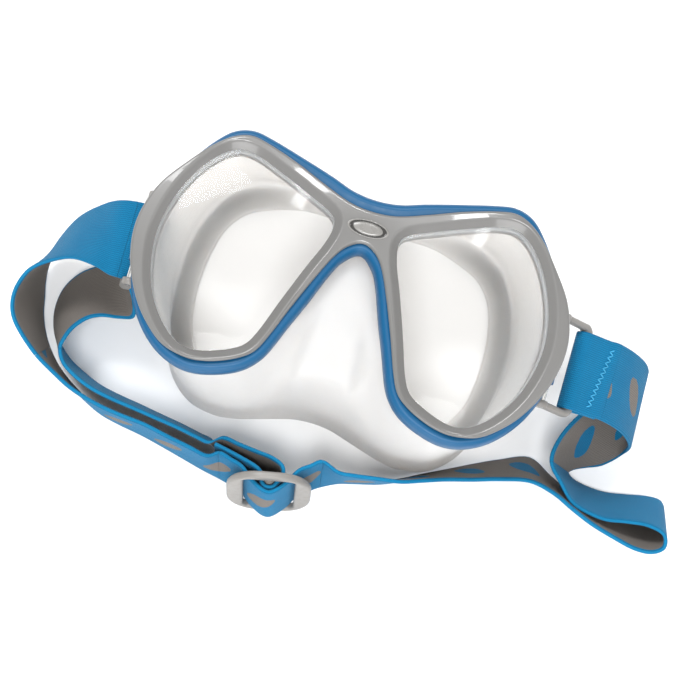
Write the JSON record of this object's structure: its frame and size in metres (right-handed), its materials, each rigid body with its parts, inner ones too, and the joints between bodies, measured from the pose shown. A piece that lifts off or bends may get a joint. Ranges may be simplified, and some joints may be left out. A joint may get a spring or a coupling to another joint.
{
  "type": "diving mask",
  "caption": "Two-lens diving mask with a silicone skirt and nose pocket, swivelling strap clips and an elastic webbing strap with a sliding adjuster, lying on its face seal",
  "frame": {"origin": "on the resting surface, under the middle of the whole part's box", "axes": "+Z is the way the lenses face and points up from the surface; +Y is the forehead side; +X is to the right as seen from the front. The strap lies mostly on the -Y side."},
  "size_m": [0.274, 0.1355, 0.071],
  "materials": {
    "frame_blue": "satin moulded blue plastic",
    "bezel_grey": "glossy warm grey lacquered plastic",
    "badge_grey": "satin grey inlay",
    "lens_glass": "clear tempered glass",
    "skirt_silicone": "frosted translucent silicone",
    "clip_grey": "satin light grey nylon",
    "pin_steel": "stainless steel",
    "webbing": "woven elastic webbing, blue outside and grey inside",
    "thread_blue": "sewing thread"
  },
  "bodies": {
    "mask": {"rear_frame": "frame_blue", "front_bezel": "bezel_grey", "bridge_badge": "badge_grey", "left_lens": "lens_glass", "right_lens": "lens_glass", "skirt": "skirt_silicone", "left_lug": "frame_blue", "right_lug": "frame_blue", "strap_right_curl": "webbing", "strap_right_loop": "webbing", "strap_front_run": "webbing", "strap_outer_run": "webbing", "strap_outer_side": "webbing", "strap_inner_side": "webbing", "strap_inner_run": "webbing"},
    "left_clip": {"left_clip": "clip_grey", "left_pin": "pin_steel", "strap_left_end": "webbing"},
    "right_clip": {"right_clip": "clip_grey", "right_pin": "pin_steel", "strap_right_end": "webbing", "right_end_seam": "thread_blue"},
    "slider": {"slider_frame": "clip_grey", "slider_bar": "clip_grey", "strap_slider_weave": "webbing", "strap_end_loop": "webbing", "end_loop_seam": "thread_blue"}
  },
  "joints": [
    {"name": "left_clip_swing", "type": "hinge", "parent": "mask", "child": "left_clip", "pos_m": [-0.091, 0.0179, 0.056], "axis": [0, -1, 0], "range_deg": [-30, 5], "deforming": ["strap_outer_side", "strap_inner_side"]},
    {"name": "right_clip_swing", "type": "hinge", "parent": "mask", "child": "right_clip", "pos_m": [0.0696, 0.0179, 0.056], "axis": [0, 1, 0], "range_deg": [-20, 20], "deforming": ["strap_right_curl", "strap_right_loop"]},
    {"name": "slider_slide", "type": "slide", "parent": "mask", "child": "slider", "axis": [0.9781, 0.2079, 0], "range_m": [-0.012, 0.012], "deforming": ["strap_front_run", "strap_outer_run", "strap_inner_run"]}
  ]
}
